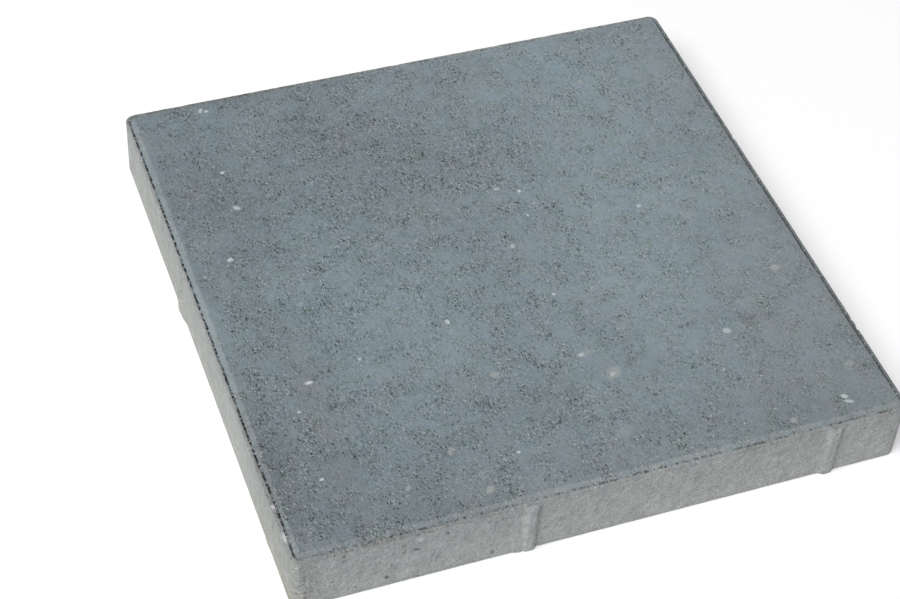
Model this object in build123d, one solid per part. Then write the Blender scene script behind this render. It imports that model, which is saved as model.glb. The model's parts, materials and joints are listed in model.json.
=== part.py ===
"""Square pressed-concrete paving slab with a bevelled walking face and spacer nibs.

The slab lies flat with its walking face up. The origin is the middle of the bed face, +Z is up,
and the sides are square to X and Y. All lengths are in millimetres.
"""

from build123d import *
import math
import os

# Body
SLAB_SIDE = 398.0
SLAB_THICKNESS = 45.0
CORNER_RADIUS = 7.0
BED_ARRIS_RADIUS = 0.8

# Arris of the walking face: a low rim along the sides, a groove and a bevel up to the flat
RIM_WIDTH = 1.7
RIM_DROP = 1.5
RIM_RADIUS = 0.5
GROOVE_WIDTH = 1.1
GROOVE_DEPTH = 2.0
BEVEL_WIDTH = 3.7
BEVEL_DROP = 1.1
BEVEL_CORNER_RADIUS = 2.5

# Spacer nibs, placed from the right-hand end of each side as seen from outside
NIBS_PER_SIDE = 2
NIB_END_DISTANCE = 49.0
NIB_PITCH = 200.0
NIB_PROJECTION = 2.0
NIB_BASE_WIDTH = 11.0
NIB_CREST_WIDTH = 5.0
NIB_CREST_RADIUS = 0.6
NIB_TOP_GAP = 3.0
NIB_TOP_SLOPE = 5.5

# A square slab has four like sides, a quarter turn apart
SIDES = 4
QUARTER_TURN = 90.0

NODE = "paving_slab"


def plan_outline():
    """Plan of the slab without its nibs: a square with rounded corners."""
    return RectangleRounded(SLAB_SIDE, SLAB_SIDE, CORNER_RADIUS)


def inset_outline(inset):
    """Plan outline drawn in by the same inset from every side."""
    return offset(plan_outline(), amount=-inset)


def body():
    """Plain block of the slab with its bed arris rounded."""
    block = extrude(plan_outline(), amount=SLAB_THICKNESS)
    bed_edges = block.faces().sort_by(Axis.Z)[0].edges()
    return fillet(bed_edges, BED_ARRIS_RADIUS)


def with_arris(slab):
    """Slab with the rim lowered and rounded, the groove cut behind it and the walking face bevelled."""
    walking_plane = Plane.XY.offset(SLAB_THICKNESS)
    bevel_foot_plane = Plane.XY.offset(SLAB_THICKNESS - BEVEL_DROP)
    groove_inset = RIM_WIDTH + GROOVE_WIDTH
    flat_side = SLAB_SIDE - 2 * (groove_inset + BEVEL_WIDTH)
    flat_outline = RectangleRounded(flat_side, flat_side, BEVEL_CORNER_RADIUS)
    rim_band = plan_outline() - inset_outline(RIM_WIDTH)
    groove_band = inset_outline(RIM_WIDTH) - inset_outline(groove_inset)
    slab -= extrude(walking_plane * rim_band, amount=-RIM_DROP)
    rim_edges = slab.faces().filter_by(Axis.Z).group_by(Axis.Z)[-2].face().outer_wire().edges()
    slab = fillet(rim_edges, RIM_RADIUS)
    slab -= extrude(walking_plane * groove_band, amount=-GROOVE_DEPTH)
    crown = loft([bevel_foot_plane * inset_outline(groove_inset), walking_plane * flat_outline])
    bevel_layer = extrude(walking_plane * inset_outline(groove_inset), amount=-BEVEL_DROP)
    return slab - (bevel_layer - crown)


def nib():
    """One nib on the front side, centred on X = 0.

    A plan trapezoid gives the flanks and the crest, and a side profile gives the rounded foot and
    the sloped head. The nib is rooted in the slab by the depth of the bed arris.
    """
    flank_run = (NIB_BASE_WIDTH - NIB_CREST_WIDTH) / 2
    flank_angle = math.degrees(math.atan2(NIB_PROJECTION, flank_run))
    nib_height = SLAB_THICKNESS - NIB_TOP_GAP
    root = Rectangle(NIB_BASE_WIDTH, BED_ARRIS_RADIUS, align=(Align.CENTER, Align.MAX))
    crest = Trapezoid(NIB_BASE_WIDTH, NIB_PROJECTION, flank_angle, align=(Align.CENTER, Align.MIN))
    prism = extrude(root + crest, amount=nib_height)
    crest_edges = prism.edges().filter_by(Axis.Z).group_by(Axis.Y)[-1]
    prism = fillet(crest_edges, NIB_CREST_RADIUS)

    head_start = nib_height - NIB_TOP_SLOPE
    side_profile = make_face(
        Polyline(
            (-BED_ARRIS_RADIUS, 0),
            (NIB_PROJECTION, 0),
            (NIB_PROJECTION, head_start),
            (0, nib_height),
            (-BED_ARRIS_RADIUS, nib_height),
            close=True,
        )
    )
    foot_corner = side_profile.vertices().group_by(Axis.Y)[0].sort_by(Axis.X)[-1]
    side_profile = fillet(foot_corner, BED_ARRIS_RADIUS)
    envelope = extrude(Plane.YZ * side_profile, amount=NIB_BASE_WIDTH / 2, both=True)
    outward = Rot(Z=2 * QUARTER_TURN)
    return Pos(Y=-SLAB_SIDE / 2) * outward * (prism & envelope)


def with_nibs(slab):
    """Slab with the same row of nibs on each of its sides."""
    last_nib = SLAB_SIDE / 2 - NIB_END_DISTANCE
    single = nib()
    for side in range(SIDES):
        for place in range(NIBS_PER_SIDE):
            slab += Rot(Z=side * QUARTER_TURN) * Pos(X=last_nib - place * NIB_PITCH) * single
    return slab


os.makedirs("parts", exist_ok=True)
paving_slab = with_nibs(with_arris(body()))
export_step(paving_slab, os.path.join("parts", NODE + ".step"))
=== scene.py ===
"""Looks of a square pressed-concrete paving slab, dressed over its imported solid.

The slab is one casting, so it is one closed surface: a grid for the walking face, rings that follow
the arris and the sides with their nibs, and a coarser grid for the bed face. Lengths are in metres,
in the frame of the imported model, unless a name ends in _mm.
"""

import itertools
import json
import logging
import math
from collections.abc import Mapping
from dataclasses import dataclass, field
from enum import Enum
from functools import reduce
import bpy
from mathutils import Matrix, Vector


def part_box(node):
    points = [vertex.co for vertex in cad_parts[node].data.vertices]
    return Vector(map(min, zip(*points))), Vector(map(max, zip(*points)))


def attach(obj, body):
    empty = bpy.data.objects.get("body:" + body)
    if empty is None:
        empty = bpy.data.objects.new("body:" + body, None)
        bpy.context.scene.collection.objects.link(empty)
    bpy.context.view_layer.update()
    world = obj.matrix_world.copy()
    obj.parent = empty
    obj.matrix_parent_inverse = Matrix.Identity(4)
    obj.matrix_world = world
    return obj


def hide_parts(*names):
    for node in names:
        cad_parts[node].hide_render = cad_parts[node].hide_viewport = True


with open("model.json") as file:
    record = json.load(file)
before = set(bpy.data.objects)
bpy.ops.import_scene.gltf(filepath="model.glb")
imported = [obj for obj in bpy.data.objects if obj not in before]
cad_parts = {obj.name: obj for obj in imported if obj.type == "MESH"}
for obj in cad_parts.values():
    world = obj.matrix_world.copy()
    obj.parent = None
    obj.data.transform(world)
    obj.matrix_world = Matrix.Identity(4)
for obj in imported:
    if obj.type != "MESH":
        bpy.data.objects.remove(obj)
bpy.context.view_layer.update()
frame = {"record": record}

from types import MappingProxyType
from typing import Any

import bpy
import numpy as np
import numpy.typing as npt
from mathutils import Matrix, Vector

FloatArray = npt.NDArray[np.float64]
IntArray = npt.NDArray[np.int64]
Colour = tuple[float, float, float]
Socket = bpy.types.NodeSocket

LOG = logging.getLogger("paving_slab")
WHITE: Colour = (1.0, 1.0, 1.0)
NODE = "paving_slab"
BODY = "root"
MM = 0.001
QUARTER_TURN = math.pi / 2
# Middle of the range from 0 to 1, about which noises and masks swing
MIDDLE = 0.5
# Each ring of the flat faces has this many times fewer points than the one outside it
HALVING = 2
# Fine steps that are summed for each step along a side
DENSITY_STEPS = 8
NOTHING: Mapping[str, Any] = MappingProxyType({})


class Side(Enum):
    """Sides of the slab, by the quarter turns that bring the front side there."""

    FRONT = 0
    RIGHT = 1
    BACK = 2
    LEFT = 3


class WearLayer(Enum):
    """Uses of the arris noise, by the height at which each one reads it."""

    OPENING = 0.00
    WALL = 0.02
    RIM_WALL = 0.04
    RIM_FALL = 0.06
    FOOT = 0.08


class Zone(Enum):
    """Stretches of the slab's edge section, from the walking face to the bed face."""

    MARGIN = "margin of the walking face"
    BEVEL = "bevel"
    GROOVE = "groove"
    RIM = "rim"
    SIDE = "side"
    FOOT = "bed arris"
    BED = "bed face"


@dataclass(frozen=True)
class LatticeNoise:
    """Smooth seeded noise: random values on a cubic lattice, mixed between its corners."""

    seed: int
    span: int = 48

    def sample(self, points: FloatArray, wavelength: float) -> FloatArray:
        """Noise from -1 to 1: the eight lattice values round a point, mixed by 3t^2 - 2t^3 on each axis.

        Args:
            points: Places, with X, Y and Z on the last axis.
            wavelength: Side of a lattice cell.

        Returns:
            One value for each place.
        """
        values = np.random.default_rng(self.seed).uniform(-1.0, 1.0, (self.span,) * 3)
        scaled = points / wavelength
        cell = np.floor(scaled)
        part = scaled - cell
        ease = part * part * (3.0 - 2.0 * part)
        total = np.zeros(points.shape[:-1])
        for corner in itertools.product((0, 1), repeat=3):
            index = (cell.astype(np.int64) + corner) % self.span
            weight = np.where(np.array(corner) == 1, ease, 1.0 - ease).prod(axis=-1)
            total += weight * values[index[..., 0], index[..., 1], index[..., 2]]
        return total

    def fractal(self, points: FloatArray, wavelength: float, octaves: int) -> FloatArray:
        """Sum of noises, each with half the wavelength and half the strength of the one before.

        Args:
            points: Places, with X, Y and Z on the last axis.
            wavelength: Wavelength of the first noise.
            octaves: Number of noises.

        Returns:
            One value for each place, about -1 to 1.
        """
        shares = [0.5**octave for octave in range(octaves)]
        total = sum(share * self.sample(points, wavelength * share) for share in shares)
        return total / sum(shares)


@dataclass(frozen=True)
class SlabSizes:
    """Sizes of the slab's body, arris and nibs.

    nib_lean is how far the nibs lie to the left of the record's places, as seen from outside.
    """

    half_side: float
    thickness: float
    nib_places: tuple[float, ...]
    nib_projection: float = 2.0 * MM
    nib_base: float = 12.0 * MM
    nib_crest: float = 3.6 * MM
    nib_lean: float = 1.0 * MM
    nib_top_gap: float = 2.2 * MM
    nib_head: float = 4.4 * MM
    corner_radius: float = 7.0 * MM
    bed_arris: float = 0.8 * MM
    rim_width: float = 1.7 * MM
    rim_drop: float = 1.5 * MM
    rim_radius: float = 0.5 * MM
    groove_width: float = 1.1 * MM
    groove_depth: float = 2.0 * MM
    bevel_width: float = 3.7 * MM
    bevel_drop: float = 1.1 * MM

    @property
    def groove_inset(self) -> float:
        """Inset of the bevel's foot, where the groove ends."""
        return self.rim_width + self.groove_width

    @property
    def flat_inset(self) -> float:
        """Inset of the bevel's upper edge, where the flat of the walking face begins."""
        return self.groove_inset + self.bevel_width

    @property
    def rim_level(self) -> float:
        """Height of the rim."""
        return self.thickness - self.rim_drop

    @classmethod
    def from_frame(cls, record: Mapping[str, Any]) -> "SlabSizes":
        """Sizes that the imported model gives: its box, and the nibs that its record states.

        Args:
            record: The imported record.

        Returns:
            The slab's sizes.
        """
        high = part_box(NODE)[1]
        front = [m["pos_m"] for m in record["mounts"] if m["name"].startswith("front_nib")]
        return cls(
            half_side=high.x - cls.nib_projection,
            thickness=high.z,
            nib_places=tuple(sorted(place[0] - cls.nib_lean for place in front)),
        )

    def nib_profile(self, along: FloatArray, height: FloatArray) -> FloatArray:
        """Outward stand of the nibs: the lower of a flank ramp and a head ramp, each eased at its ends.

        Args:
            along: Distance from the middle of the side, rightwards as seen from outside.
            height: Height above the bed face.

        Returns:
            Distance out of the side's plane.
        """
        reach = min_distance(along, self.nib_places)
        flank_run = (self.nib_base - self.nib_crest) / 2
        flank = eased((self.nib_base / 2 - reach) / flank_run)
        head = eased((self.thickness - self.nib_top_gap - height) / self.nib_head)
        return self.nib_projection * np.minimum(flank, head)


def eased(share: FloatArray) -> FloatArray:
    """Share held between 0 and 1, with soft ends: 3t^2 - 2t^3."""
    held = np.clip(share, 0.0, 1.0)
    return held * held * (3.0 - 2.0 * held)


def min_distance(along: FloatArray, places: tuple[float, ...]) -> FloatArray:
    """Distance from each value to the nearest of some places."""
    return np.min([np.abs(along - place) for place in places], axis=0)


@dataclass(frozen=True)
class Columns:
    """Columns of points round the outline, counter-clockwise from above, from the front left corner."""

    share: FloatArray
    turn: FloatArray
    quarter: FloatArray

    @classmethod
    def spread(cls, sizes: SlabSizes, straight: int, corner: int, nib_gain: float) -> "Columns":
        """Columns of the four sides, closer together at the nibs.

        The straight stretch of a side is divided so that each step holds the same part of a density
        of 1 plus a bell of the given gain at each nib. The two half corners are divided evenly.

        Args:
            sizes: The slab's sizes.
            straight: Steps on the straight stretch of a side.
            corner: Steps on half a corner.
            nib_gain: Height of the bells.

        Returns:
            The columns.
        """
        half = sizes.half_side - sizes.corner_radius
        fine = np.linspace(-half, half, straight * DENSITY_STEPS + 1)
        bells = np.exp(-((min_distance(fine, sizes.nib_places) / sizes.nib_base) ** 2))
        total = np.concatenate([[0.0], np.cumsum((1.0 + nib_gain * bells)[:-1])])
        steps = np.interp(np.linspace(0.0, total[-1], straight + 1), total, fine) / half
        arc = np.linspace(0.0, QUARTER_TURN / 2, corner + 1)
        share = np.concatenate([np.full(corner, -1.0), steps, np.full(corner - 1, 1.0)])
        turn = np.concatenate([-arc[:0:-1], np.zeros(straight + 1), arc[1:-1]])
        quarters = np.repeat([float(side.value) for side in Side], share.size)
        return cls(np.tile(share, len(Side)), np.tile(turn, len(Side)), quarters)

    def thinned(self, step: int) -> "Columns":
        """Every so many columns, from the first."""
        return Columns(self.share[::step], self.turn[::step], self.quarter[::step])

    def outward(self) -> FloatArray:
        """Outward direction of each column in plan: its turn added to the quarter turns of its side."""
        angle = self.quarter * QUARTER_TURN + self.turn
        return np.stack([np.sin(angle), -np.cos(angle)], axis=-1)

    def ring(self, half_side: FloatArray, radius: FloatArray) -> FloatArray:
        """Points of a rounded square in plan.

        Along a side a point lies at share * (half side - radius) + radius * sin(turn), and out from
        the middle at (half side - radius) + radius * cos(turn); quarter turns bring it to its side.

        Args:
            half_side: Half side of the square, for each ring and column.
            radius: Corner radius, for each ring and column.

        Returns:
            X and Y on the last axis.
        """
        straight = half_side - radius
        along = self.share * straight + radius * np.sin(self.turn)
        out = straight + radius * np.cos(self.turn)
        cosine, sine = np.cos(self.quarter * QUARTER_TURN), np.sin(self.quarter * QUARTER_TURN)
        return np.stack([along * cosine + out * sine, along * sine - out * cosine], axis=-1)

    def along(self, sizes: SlabSizes) -> FloatArray:
        """Distance of each column from the middle of its side, rightwards as seen from outside."""
        straight = sizes.half_side - sizes.corner_radius
        return self.share * straight + sizes.corner_radius * np.sin(self.turn)


@dataclass(frozen=True)
class SectionRows:
    """Division of the edge section into rows: counts, or shares of the way across a stretch."""

    margin: int = 3
    bevel: tuple[float, ...] = (0.08, 0.30, 0.55, 0.80, 0.95, 1.0)
    groove: tuple[float, ...] = (0.0, 0.2, 0.8, 1.0)
    ledge: tuple[float, ...] = (0.95, 0.60)
    rim_bend: int = 4
    upper_side: int = 3
    nib_head: int = 5
    lower_side: int = 11
    foot_bend: int = 4


@dataclass(frozen=True)
class Section:
    """Rows of the edge section: their inset from the side's plane, height and zone."""

    inset: FloatArray
    height: FloatArray
    zones: tuple[Zone, ...]

    @classmethod
    def of_slab(cls, sizes: SlabSizes, rows: SectionRows, margin: float, bed_margin: float) -> "Section":
        """Section from the margin of the walking face to the margin of the bed face.

        Args:
            sizes: The slab's sizes.
            rows: Division into rows.
            margin: Inset of the first row on the walking face.
            bed_margin: Inset of the last row on the bed face.

        Returns:
            The section.
        """
        top, rim_level = sizes.thickness, sizes.rim_level
        floor = top - sizes.groove_depth
        nib_top = top - sizes.nib_top_gap
        head_foot = nib_top - sizes.nib_head
        heights = np.concatenate([
            np.linspace(rim_level - sizes.rim_radius, nib_top, rows.upper_side)[1:-1],
            np.linspace(nib_top, head_foot, rows.nib_head)[:-1],
            np.linspace(head_foot, sizes.bed_arris, rows.lower_side),
        ])
        bevel = np.array(rows.bevel)
        groove = np.array([(top - sizes.bevel_drop + floor) / 2, floor, floor, (floor + rim_level) / 2])
        ledge = sizes.rim_width * np.array(rows.ledge)
        rim = np.linspace(0.0, QUARTER_TURN, rows.rim_bend)
        foot = np.linspace(0.0, QUARTER_TURN, rows.foot_bend)[1:]
        stretches = (
            (Zone.MARGIN, np.linspace(margin, sizes.flat_inset, rows.margin), np.full(rows.margin, top)),
            (Zone.BEVEL, sizes.flat_inset - sizes.bevel_width * bevel, top - sizes.bevel_drop * bevel),
            (Zone.GROOVE, sizes.groove_inset - sizes.groove_width * np.array(rows.groove), groove),
            (Zone.RIM, ledge, np.full(ledge.size, rim_level)),
            (
                Zone.RIM,
                sizes.rim_radius * (1.0 - np.sin(rim)),
                rim_level - sizes.rim_radius * (1.0 - np.cos(rim)),
            ),
            (Zone.SIDE, np.zeros(heights.size), heights),
            (
                Zone.FOOT,
                sizes.bed_arris * (1.0 - np.cos(foot)),
                sizes.bed_arris * (1.0 - np.sin(foot)),
            ),
            (Zone.BED, np.array([bed_margin]), np.zeros(1)),
        )
        zones = tuple(zone for zone, inset, _ in stretches for _ in range(inset.size))
        insets = np.concatenate([inset for _, inset, _ in stretches])
        return cls(insets, np.concatenate([height for _, _, height in stretches]), zones)

    def within(self, *zones: Zone) -> FloatArray:
        """1 for each row in one of some zones and 0 for the others, as a column."""
        return np.array([[float(zone in zones)] for zone in self.zones])


@dataclass(frozen=True)
class Chip:
    """A spot where the arris leaves its line: its side, its place there, its length and its depth."""

    side: Side
    place: float
    length: float
    depth: float


@dataclass(frozen=True)
class ArrisState:
    """State of the arris on one side.

    opening is how far the groove is open, from 0 to 1; soil is how much of it is darkened, and grime how
    dark it is, by dirt and partly by painted shade; facing is how much of the facing lies on the rim, and
    shade how much painted shade darkens the rim; thin is how far the facing is worn on the bevel; shift is
    how far the groove has strayed inwards, and gape how much wider it has broken out; rise is how much
    higher the rim was left.
    """

    opening: float
    soil: float
    grime: float
    facing: float
    shade: float
    thin: float
    shift: float
    gape: float
    rise: float


@dataclass(frozen=True)
class ArrisWear:
    """Raggedness of the arris, worked out for each column of points."""

    # By side: front, right, back, left. The groove's darkness is dirt and painted shade, and the rim's
    # shade is painted shade.
    states: tuple[ArrisState, ...] = (
        ArrisState(0.25, 0.34, 0.60, 0.20, 0.20, 0.24, shift=0.4 * MM, gape=0.2 * MM, rise=0.0),
        ArrisState(0.85, 0.94, 0.70, 0.60, 0.46, 0.18, shift=-0.3 * MM, gape=0.6 * MM, rise=0.6 * MM),
        ArrisState(0.30, 0.35, 0.35, 0.30, 0.35, 0.20, shift=0.0, gape=0.3 * MM, rise=0.2 * MM),
        ArrisState(0.75, 0.60, 0.95, 0.10, 0.08, 0.30, shift=0.1 * MM, gape=0.2 * MM, rise=0.0),
    )
    blend_steps: int = 15
    noise: LatticeNoise = LatticeNoise(seed=11)
    strays: tuple[Chip, ...] = (Chip(Side.LEFT, 160.0 * MM, 84.0 * MM, 0.9 * MM),)
    coarse_wave: float = 7.0 * MM
    fine_wave: float = 2.4 * MM
    wall_shift: float = 0.40 * MM
    rim_shift: float = 0.20 * MM
    rim_drop: float = 0.4 * MM
    opening_swing: float = 1.1
    least_opening: float = 0.10
    chip_bite: float = 0.5
    chips: tuple[Chip, ...] = (
        Chip(Side.RIGHT, -128.0 * MM, 5.0 * MM, 1.0 * MM),
        Chip(Side.RIGHT, -120.0 * MM, 3.0 * MM, 0.8 * MM),
        Chip(Side.RIGHT, 60.0 * MM, 4.0 * MM, 0.7 * MM),
        Chip(Side.LEFT, 20.0 * MM, 3.0 * MM, 0.6 * MM),
        Chip(Side.LEFT, 158.0 * MM, 4.0 * MM, 0.7 * MM),
        Chip(Side.LEFT, 181.0 * MM, 7.0 * MM, 1.0 * MM),
        Chip(Side.FRONT, -80.0 * MM, 3.0 * MM, 0.6 * MM),
    )

    def mixed(self, points: FloatArray, layer: WearLayer) -> FloatArray:
        """Coarse and fine noise along the outline, half and half.

        Args:
            points: X and Y of the columns.
            layer: What the noise is used for.

        Returns:
            One value from -1 to 1 for each column.
        """
        places = np.concatenate([points, np.full((len(points), 1), layer.value)], axis=1)
        coarse = self.noise.sample(places, self.coarse_wave)
        return (coarse + self.noise.sample(places, self.fine_wave)) / 2

    def spread(self, columns: Columns, name: str) -> FloatArray:
        """One value of the sides' states for each column, averaged over some steps to either side.

        Args:
            columns: Columns round the outline.
            name: Name of the value.

        Returns:
            The value for each column.
        """
        sides = np.array([getattr(state, name) for state in self.states])
        values = sides[columns.quarter.astype(np.int64)]
        steps = range(-self.blend_steps, self.blend_steps + 1)
        return np.mean([np.roll(values, step) for step in steps], axis=0)

    def dented(self, columns: Columns, sizes: SlabSizes, chips: tuple[Chip, ...]) -> FloatArray:
        """Depth of some chips: a rounded dent, depth * (1 - (distance / half length)^2), at each one.

        Args:
            columns: Columns round the outline.
            sizes: The slab's sizes.
            chips: The chips.

        Returns:
            Depth for each column.
        """
        along = columns.along(sizes)
        depth = np.zeros_like(along)
        for chip in chips:
            share = (along - chip.place) / (chip.length / 2)
            dent = chip.depth * np.clip(1.0 - share * share, 0.0, None)
            depth = np.maximum(depth, np.where(columns.quarter == chip.side.value, dent, 0.0))
        return depth


@dataclass(frozen=True)
class WornNib:
    """A nib that is worn down: its side, its place along the side and the share that is left of it."""

    side: Side
    place: float
    share: float


@dataclass(frozen=True)
class FootBurr:
    """A lump at a nib's foot: its side, middle, half width, rise up the side and stand."""

    side: Side
    place: float
    half_width: float
    rise: float
    stand: float


@dataclass(frozen=True)
class NibWear:
    """What the years and the mould have done to the nibs, and the painted shade in the crease on one
    flank.
    """

    worn: tuple[WornNib, ...] = (
        WornNib(Side.LEFT, 150.0 * MM, 0.12),
        WornNib(Side.LEFT, -50.0 * MM, 0.85),
    )
    burrs: tuple[FootBurr, ...] = (
        FootBurr(Side.FRONT, -57.0 * MM, 6.5 * MM, 8.0 * MM, 1.4 * MM),
        FootBurr(Side.LEFT, -46.0 * MM, 9.5 * MM, 14.0 * MM, 1.5 * MM),
    )
    crease_side: Side = Side.FRONT
    crease_offset: float = 4.8 * MM
    crease_width: float = 1.5 * MM
    crease_depth: float = 0.30 * MM
    # Painted shade in the crease along the nibs' right flank: how much of it is dark, and how dark.
    crease_shade_cover: float = 0.50
    crease_shade_darkness: float = 0.42
    crease_gap: float = 2.0 * MM
    crease_fade: float = 3.0 * MM

    def stand(self, columns: Columns, sizes: SlabSizes, height: FloatArray) -> FloatArray:
        """Outward stand of the nibs as they are now: the larger of the worn nibs and the burrs.

        A burr is its stand times an eased ramp from its half width to its middle, times e to the
        power of minus height over rise.

        Args:
            columns: Columns round the outline.
            sizes: The slab's sizes.
            height: Height above the bed face, by row and column.

        Returns:
            Distance out of the side's plane, by row and column.
        """
        along = columns.along(sizes)[None, :]
        stand = sizes.nib_profile(along, height)
        for nib in self.worn:
            here = (columns.quarter == nib.side.value) & (np.abs(along - nib.place) < sizes.nib_base)
            stand = np.where(here, stand * nib.share, stand)
        for burr in self.burrs:
            ramp = eased(1.0 - np.abs(along - burr.place) / burr.half_width)
            lump = burr.stand * ramp * np.exp(-height / burr.rise)
            stand = np.where(columns.quarter == burr.side.value, np.maximum(stand, lump), stand)
        return stand

    def crease(self, columns: Columns, sizes: SlabSizes, height: FloatArray) -> FloatArray:
        """Crease along one flank of one side's nibs: a bell of the distance from it, up to the head.

        Args:
            columns: Columns round the outline.
            sizes: The slab's sizes.
            height: Height above the bed face, by row and column.

        Returns:
            1 in the crease, falling to 0.
        """
        places = tuple(place + self.crease_offset for place in sizes.nib_places)
        reach = min_distance(columns.along(sizes), places) / self.crease_width
        below = eased((sizes.thickness - self.crease_gap - height) / self.crease_fade)
        bell = np.where(columns.quarter == self.crease_side.value, np.exp(-reach * reach), 0.0)
        return bell[None, :] * below


@dataclass(frozen=True)
class TonePatch:
    """A soft cloud on the slab, by its middle and radii in plan, and how it turns the tone there."""

    x_mm: float
    y_mm: float
    radius_x_mm: float
    radius_y_mm: float
    warm: float = 0.0
    light: float = 0.0
    rough: float = 0.0
    soil: float = 0.0

    def spread(self, points: FloatArray) -> FloatArray:
        """Bell of the distance from the middle, in radii.

        Args:
            points: Places with X and Y first on the last axis.

        Returns:
            1 in the middle, falling to 0.
        """
        across = (points[..., 0] / MM - self.x_mm) / self.radius_x_mm
        deep = (points[..., 1] / MM - self.y_mm) / self.radius_y_mm
        return np.exp(-(across * across + deep * deep))


class Number:
    """A number carried by a shader socket; Python operators on it add Math nodes."""

    def __init__(self, graph: "ShaderGraph", socket: Socket) -> None:
        """Wraps one output socket of a graph."""
        self.graph = graph
        self.socket = socket

    def __add__(self, other: "Number | float") -> "Number":
        """Sum."""
        return self.graph.math("ADD", self, other)

    def __radd__(self, other: float) -> "Number":
        """Sum with a plain number first."""
        return self.graph.math("ADD", other, self)

    def __sub__(self, other: "Number | float") -> "Number":
        """Difference."""
        return self.graph.math("SUBTRACT", self, other)

    def __rsub__(self, other: float) -> "Number":
        """Difference from a plain number."""
        return self.graph.math("SUBTRACT", other, self)

    def __mul__(self, other: "Number | float") -> "Number":
        """Product."""
        return self.graph.math("MULTIPLY", self, other)

    def __rmul__(self, other: float) -> "Number":
        """Product with a plain number first."""
        return self.graph.math("MULTIPLY", other, self)

    def __truediv__(self, other: float) -> "Number":
        """Quotient by a plain number."""
        return self.graph.math("MULTIPLY", self, 1.0 / other)

    def __rtruediv__(self, other: float) -> "Number":
        """Quotient of a plain number by this one."""
        return self.graph.math("DIVIDE", other, self)

    def clamped(self) -> "Number":
        """Value held between 0 and 1."""
        return self.graph.math("ADD", self, 0.0, clamp=True)

    def larger(self, other: "Number") -> "Number":
        """The larger of two values."""
        return self.graph.math("MAXIMUM", self, other)


class ShaderGraph:
    """Node tree of one material or surround, written as expressions."""

    def __init__(self, owner: bpy.types.Material | bpy.types.World) -> None:
        """Starts with an empty node tree.

        Args:
            owner: The material or world that the tree belongs to.
        """
        owner.use_nodes = True
        self.tree = owner.node_tree
        self.tree.nodes.clear()

    def node(
        self, kind: str, settings: Mapping[str, Any] = NOTHING, inputs: Mapping[str, Any] = NOTHING
    ) -> bpy.types.Node:
        """Adds one node.

        Args:
            kind: The node's type.
            settings: Properties of the node, set before its sockets are used.
            inputs: Values or links for its sockets, by socket identifier.

        Returns:
            The new node.
        """
        node = self.tree.nodes.new(kind)
        for key, value in settings.items():
            setattr(node, key, value)
        sockets = {socket.identifier: socket for socket in node.inputs}
        for key, value in inputs.items():
            value = value.socket if isinstance(value, Number) else value
            if isinstance(value, Socket):
                self.tree.links.new(value, sockets[key])
            else:
                sockets[key].default_value = value
        return node

    def number(self, node: bpy.types.Node, output: str) -> Number:
        """Output of a node as a number."""
        return Number(self, node.outputs[output])

    def math(self, operation: str, first: Any, second: Any, clamp: bool = False) -> Number:
        """Math node on two numbers.

        Args:
            operation: The node's operation.
            first: First number or socket.
            second: Second number or socket.
            clamp: Whether the result is held between 0 and 1.

        Returns:
            The result.
        """
        settings = {"operation": operation, "use_clamp": clamp}
        node = self.node("ShaderNodeMath", settings, {"Value": first, "Value_001": second})
        return self.number(node, "Value")

    def attribute(self, name: str) -> Number:
        """Value that the mesh carries at its points under a name."""
        return self.number(self.node("ShaderNodeAttribute", {"attribute_name": name}), "Fac")

    def vector(self, operation: str, first: Any, others: Mapping[str, Any]) -> Socket:
        """Vector Math node.

        Args:
            operation: The node's operation.
            first: First vector.
            others: The other sockets, by identifier.

        Returns:
            The resulting vector.
        """
        node = self.node("ShaderNodeVectorMath", {"operation": operation}, {"Vector": first, **others})
        return node.outputs["Vector"]

    def scaled(self, vector: Any, scale: Any) -> Socket:
        """Vector or colour times a number."""
        return self.vector("SCALE", vector, {"Scale": scale})

    def place_mm(self) -> Socket:
        """Place on the object, in millimetres."""
        return self.scaled(self.node("ShaderNodeTexCoord").outputs["Object"], 1.0 / MM)

    def fitted(self, place: Socket, drawing: Mapping[str, Any]) -> Socket:
        """Place as seen from a frame of its own.

        Args:
            place: Place in millimetres.
            drawing: Location, rotation and scale of the frame.

        Returns:
            The place in that frame.
        """
        inputs = {"Vector": place, **drawing}
        return self.node("ShaderNodeMapping", {"vector_type": "TEXTURE"}, inputs).outputs["Vector"]

    def long_cells(
        self, place: Socket, cell_mm: float, stretch: float, turn_deg: float
    ) -> tuple[Number, Number]:
        """Random lattice whose cells are drawn out along one level direction.

        Args:
            place: Place in millimetres.
            cell_mm: Width of a cell.
            stretch: How much longer than wide the cells are.
            turn_deg: The direction, counter-clockwise from the X axis.

        Returns:
            The cell's random number from 0 to 1, and the distance from its middle in cells.
        """
        turn = (0.0, 0.0, math.radians(turn_deg))
        local = self.fitted(place, {"Rotation": turn, "Scale": (stretch, 1.0, 1.0)})
        inputs = {"Vector": local, "Scale": 1.0 / cell_mm}
        lattice = self.node("ShaderNodeTexVoronoi", {"feature": "F1"}, inputs)
        parts = self.node("ShaderNodeSeparateColor", {}, {"Color": lattice.outputs["Color"]})
        return self.number(parts, "Red"), self.number(lattice, "Distance")

    def mixed(self, factor: Any, first: Any, second: Any) -> Socket:
        """Mix node on two colours.

        Args:
            factor: Share of the second colour.
            first: First colour.
            second: Second colour.

        Returns:
            The resulting colour.
        """
        settings = {"data_type": "RGBA", "clamp_factor": True}
        colours = {"A_Color": rgba(first), "B_Color": rgba(second), "Factor_Float": factor}
        node = self.node("ShaderNodeMix", settings, colours)
        return next(socket for socket in node.outputs if socket.identifier == "Result_Color")


Skin = tuple[Number, Number]


def rgba(colour: Any) -> Any:
    """Colour with an alpha of 1, or the socket that was given."""
    return (*colour, 1.0) if isinstance(colour, tuple) else colour


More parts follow.
